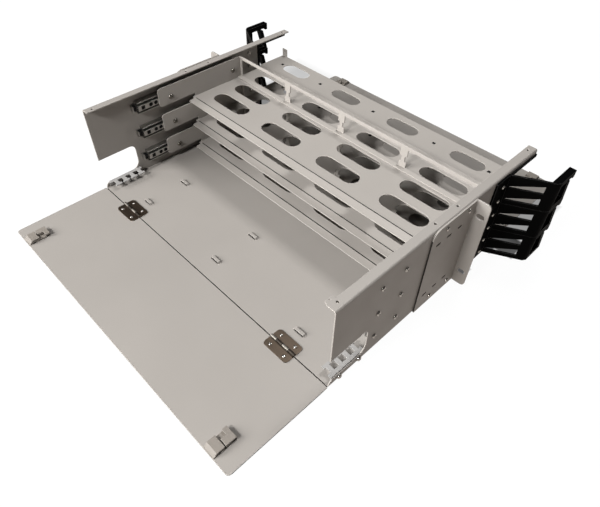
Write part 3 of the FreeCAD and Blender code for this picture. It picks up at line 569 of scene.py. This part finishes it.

# dark films of painted shade lie on cut edges, in slots and in pockets, sunk a little into what they cover
FILM, SUNK = 0.06 * MM, 0.02 * MM
SLOT_FIRST, SLOT_PITCH, SLOT_COLUMNS = -19.5 * MM, 19.5 * MM, 3
SLOT_ROWS = (23.5 * MM, 105.5 * MM)
SLOT_BACK = rounded(3.9 * MM, 1.4 * MM, 0.3 * MM, 2)
SLOT_BACK_NEAR, SLOT_BACK_FAR = 0.02 * MM, 0.17 * MM
BRACKET_EDGE_NEAR, BRACKET_EDGE_FAR = 0.05 * MM, 1.85 * MM
BRACKET_EDGE_FOOT, BRACKET_EDGE_HEAD = 1 * MM, 11 * MM
for side, sign in SIDES:
    low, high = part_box(f"{side}_ear_bracket")
    dark = bmesh.new()
    # painted shade behind the adjusting slots
    for k in range(SLOT_COLUMNS):
        for z in SLOT_ROWS:
            prism(dark, SLOT_BACK, sign * (wall + SLOT_BACK_NEAR), sign * (wall + SLOT_BACK_FAR),
                  SLOT_FIRST + k * SLOT_PITCH, z)
    # painted shade on the bracket's rear edge
    prism(dark, oblong(low.y - FILM, low.y + SUNK, BRACKET_EDGE_FOOT, high.z - BRACKET_EDGE_HEAD),
          sign * (wall + BRACKET_EDGE_NEAR), sign * (wall + BRACKET_EDGE_FAR))
    finished(dark, f"{side}_bracket_edge_shadow", "chassis", painted_shade_coat)

BAND_INSET = 0.1 * MM
EDGE_BAND = (BAND_INSET, SHEET - BAND_INSET)
SILL_INSET, RIM_INSET, DOOR_CORNER = 3 * MM, 0.5 * MM, 5 * MM
sill_half, rim_half = wall - SILL_INSET, wall - RIM_INSET
# painted shade on both faces of the gap at each hinge line and along the doors' side edges
for end, way in ENDS:
    low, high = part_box(DOORS[end])
    near = low.y if way > 0 else high.y
    sill = bmesh.new()
    prism(sill, oblong(way * hinge_line, way * (hinge_line + FILM), *EDGE_BAND), -sill_half, sill_half)
    finished(sill, f"{end}_sill_edge_shadow", "chassis", painted_shade_coat)
    rim = bmesh.new()
    prism(rim, oblong(near, near - way * FILM, *EDGE_BAND), -rim_half, rim_half)
    for sign in (-1, 1):
        prism(rim, oblong(low.y + DOOR_CORNER, high.y - DOOR_CORNER, *EDGE_BAND),
              sign * high.x, sign * (high.x + FILM))
    finished(rim, f"{end}_door_edge_shadows", DOORS[end], painted_shade_coat)

# sleeves over alternate knuckles: painted highlight on one leaf's, painted shade on the other's
KNUCKLE, KNUCKLE_GAP = 9.5 * MM, 0.3 * MM
AXIS_HEIGHT = 3.5 * MM
SLEEVE_INSIDE, SLEEVE_OUTSIDE = 1.7 * MM, 1.95 * MM
SLEEVE_START, SLEEVE_SWEEP, SLEEVE_STEPS = -15, 210, 14
sleeve_arc = [math.radians(SLEEVE_START + SLEEVE_SWEEP * k / SLEEVE_STEPS) for k in range(SLEEVE_STEPS + 1)]
SLEEVE = [
    (radius * math.cos(a), radius * math.sin(a))
    for radius, arc in ((SLEEVE_OUTSIDE, sleeve_arc), (SLEEVE_INSIDE, sleeve_arc[::-1])) for a in arc
]
for end, way in ENDS:
    for side, sign in SIDES:
        low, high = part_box(f"{end}_{side}_fixed_leaf")
        hinge_start = (low.x + high.x) / 2 - 2 * KNUCKLE
        for part, body in (("fixed", "chassis"), ("moving", DOORS[end])):
            # the leaves take turns along the pin, and the right hinges mirror the left ones
            first = 1 if (part == "moving") == (sign > 0) else 0
            sleeves = bmesh.new()
            for k in (first, first + 2):
                start = hinge_start + k * KNUCKLE
                prism(sleeves, SLEEVE, start + KNUCKLE_GAP, start + KNUCKLE - KNUCKLE_GAP,
                      way * hinge_line, AXIS_HEIGHT)
            finished(sleeves, f"{end}_{side}_{part}_knuckles", body,
                     knuckle_painted_shade if first else knuckle_painted_highlight)

LATCH_INSET, LATCH_HALF = 30 * MM, 8 * MM
POCKET_CORNER = 0.25 * MM
# painted shade in the pockets in the sides of bolt and housing: distances from the door's edge, then heights
BOLT_POCKETS = (((4.6 * MM, 9.6 * MM), (1.9 * MM, 3.7 * MM)), ((5.2 * MM, 14.6 * MM), (5.2 * MM, 5.8 * MM)))
HOUSING_POCKETS = (((24 * MM, 28.6 * MM), (2.6 * MM, 4.8 * MM)),)
for end, way in ENDS:
    low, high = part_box(DOORS[end])
    edge = max(abs(low.y), abs(high.y))
    for side, sign in SIDES:
        middle = sign * (wall - LATCH_INSET)
        for part, pockets, body in (("bolt", BOLT_POCKETS, f"{end}_{side}_latch_bolt"),
                                    ("housing", HOUSING_POCKETS, DOORS[end])):
            shadows = bmesh.new()
            for (near, far), (bottom, top) in pockets:
                outline = rounded((far - near) / 2, (top - bottom) / 2, POCKET_CORNER, 2)
                for facing in (-1, 1):
                    start = middle + facing * (LATCH_HALF - SUNK)
                    prism(shadows, outline, start, start + facing * FILM,
                          way * (edge - (near + far) / 2), (bottom + top) / 2)
            finished(shadows, f"{end}_{side}_latch_{part}_pockets", body, painted_shade_coat)

COVER_HOLES = (-166 * MM, -20 * MM, 20 * MM, 166 * MM)
COVER_HOLE_INSET = 7.5 * MM
for side, sign in SIDES:
    x, z = sign * (wall - COVER_HOLE_INSET), chassis_high.z - SHEET
    places = [(Vector((x, y, z)), Z, 0) for y in COVER_HOLES]
    scatter(f"{side}_cover_clinch_nuts", clinch_nut, places, "chassis", dark_screw)


# ---------------------------------------------------------------- floor, light and camera

WHITE = (1, 1, 1)
STAGE_CLOUD = 0.6
STAGE_BASE = (0.012, 0.012, 0.012), (0.015, 0.015, 0.015)
FLOOR_HALF = 4.0
SEEN_HEIGHT, SEEN_GLOW = -0.1 * MM, 0.975
# what the part gets back from the floor is weaker and warmer than what the camera sees of it
BOUNCE_HEIGHT, BOUNCE_GLOW, BOUNCE_TINT = -0.3 * MM, 0.77, (1, 0.92, 0.86)
# middle, half size, share of the glow that is left and soft rim of each patch of painted shadow on the floor
PAINTED_SHADOW_PATCHES = (
    ((0, 0), (221 * MM, 180 * MM), 0.0, 1 * MM),
    ((-255 * MM, 170 * MM), (34 * MM, 105 * MM), 0.75, 40 * MM),
    ((-243 * MM, 140 * MM), (22 * MM, 80 * MM), 0.3, 30 * MM),
    ((239 * MM, 148 * MM), (17 * MM, 17 * MM), 0.08, 4 * MM),
    ((-285 * MM, 268 * MM), (26 * MM, 12 * MM), 0.72, 8 * MM),
    ((227 * MM, 126 * MM), (5 * MM, 8 * MM), 0.08, 3 * MM),
    ((233 * MM, 214 * MM), (12 * MM, 49 * MM), 0.3, 12 * MM),
    ((225.5 * MM, 60 * MM), (3.5 * MM, 12 * MM), 0.1, 5 * MM),
)
# the backdrop in metres: a flat ring just below the floor, a quarter bend and a wall
RING_INSIDE, RING_OUTSIDE, RING_HEIGHT = 3.9, 5.5, -2 * MM
BEND_RADIUS, BEND_STEPS, BACKDROP_TOP, BACKDROP_STEPS = 1.5, 10, 9.0, 96


def glowing(name, tint, **settings):
    """A dark, matt finish for the stage, with a faintly clouded tint for its glow."""
    finish = Finish(name, Roughness=0.9, **settings)
    cloud = finish.between(finish.noise(STAGE_CLOUD, detail=3), 0, 1)
    finish.drive("Base Color", finish.mixed(cloud, *STAGE_BASE))
    finish.drive("Emission Color", finish.mixed(cloud, shade(tint, 0.99), tint))
    return finish


def pale_floor(name, height, strength, tint):
    """A light table dimmed by patches of painted shadow under the chassis and at the foot of the guides."""
    shape = bmesh.new()
    corners = oblong(-FLOOR_HALF, FLOOR_HALF, -FLOOR_HALF, FLOOR_HALF)
    shape.faces.new([shape.verts.new((x, y, height)) for x, y in corners])
    floor = linked(name, to_mesh(shape, name))
    finish = glowing(name, tint)
    spots = finish.nodes.new("ShaderNodeSeparateXYZ")
    finish.links.new(finish.place, spots.inputs[0])
    glow = None
    for middle, reach, share, rim in PAINTED_SHADOW_PATCHES:
        beyond = []
        for axis in (0, 1):
            offset = finish.calculate("SUBTRACT", spots.outputs[axis], middle[axis])
            beyond.append(finish.calculate("SUBTRACT", finish.calculate("ABSOLUTE", offset), reach[axis]))
        light = finish.between(finish.calculate("MAXIMUM", *beyond), share, 1, (0, rim))
        glow = light if glow is None else finish.calculate("MULTIPLY", glow, light)
    finish.drive("Emission Strength", finish.calculate("MULTIPLY", glow, strength))
    floor.data.materials.append(finish.material)
    return floor


def pale_backdrop():
    """A round sweep behind the floor, for views that look past it."""
    profile = [(RING_INSIDE, RING_HEIGHT), (RING_OUTSIDE, RING_HEIGHT)]
    for k in range(1, BEND_STEPS + 1):
        angle = math.pi / 2 * k / BEND_STEPS
        profile.append((RING_OUTSIDE + BEND_RADIUS * math.sin(angle),
                        RING_HEIGHT + BEND_RADIUS * (1 - math.cos(angle))))
    profile.append((RING_OUTSIDE + BEND_RADIUS, BACKDROP_TOP))
    backdrop = linked("studio_backdrop", to_mesh(turned(profile, BACKDROP_STEPS), "studio_backdrop"))
    backdrop.data.materials.append(glowing("studio_backdrop", WHITE, Emission_Strength=1.0).material)
    return backdrop


def softbox(name, place, width, power):
    """A square area light that looks at the origin."""
    light = bpy.data.lights.new(name, "AREA")
    light.size = width
    light.energy = power
    lamp = linked(name, light)
    lamp.location = place
    lamp.rotation_euler = (-Vector(place)).to_track_quat("-Z", "Y").to_euler()


seen_floor = pale_floor("studio_floor", SEEN_HEIGHT, SEEN_GLOW, WHITE)
bounce_floor = pale_floor("studio_bounce", BOUNCE_HEIGHT, BOUNCE_GLOW, BOUNCE_TINT)
bounce_floor.visible_camera = False
# these two are seen by the camera and cast no light on the part
for shown in (seen_floor, pale_backdrop()):
    shown.visible_diffuse = shown.visible_glossy = shown.visible_shadow = False

softbox("key_softbox", (-2.0, -3.8, 2.1), 2.6, 350)
softbox("top_softbox", (0.05, 0.7, 1.5), 0.3, 15)
softbox("rear_softbox", (0.15, -1.4, 1.1), 0.26, 26)

WORLD_GLOW = 0.08
world = bpy.data.worlds.new("studio")
world.use_nodes = True
background = world.node_tree.nodes["Background"]
background.inputs["Color"].default_value = (*WHITE, 1)
background.inputs["Strength"].default_value = WORLD_GLOW
bpy.context.scene.world = world
bpy.context.scene.view_settings.view_transform = "Standard"

CAMERA_PLACE = Vector((0.3940, -0.3939, 0.4949))
CAMERA_FORWARD = Vector((-0.48466, 0.48602, -0.72725)).normalized()
CAMERA_UP = Vector((-0.52884, 0.49944, 0.68621)).normalized()
SENSOR_WIDTH, FOCAL_LENGTH, CLIP_START = 36, 31.52, 0.01
camera_right = CAMERA_FORWARD.cross(CAMERA_UP).normalized()
turn = Matrix((camera_right, camera_right.cross(CAMERA_FORWARD), -CAMERA_FORWARD)).transposed()
lens = bpy.data.cameras.new("photo_view")
lens.sensor_fit = "HORIZONTAL"
lens.sensor_width = SENSOR_WIDTH
lens.lens = FOCAL_LENGTH
lens.clip_start = CLIP_START
camera = linked("photo_view", lens)
camera.matrix_world = Matrix.Translation(CAMERA_PLACE) @ turn.to_4x4()
bpy.context.scene.camera = camera
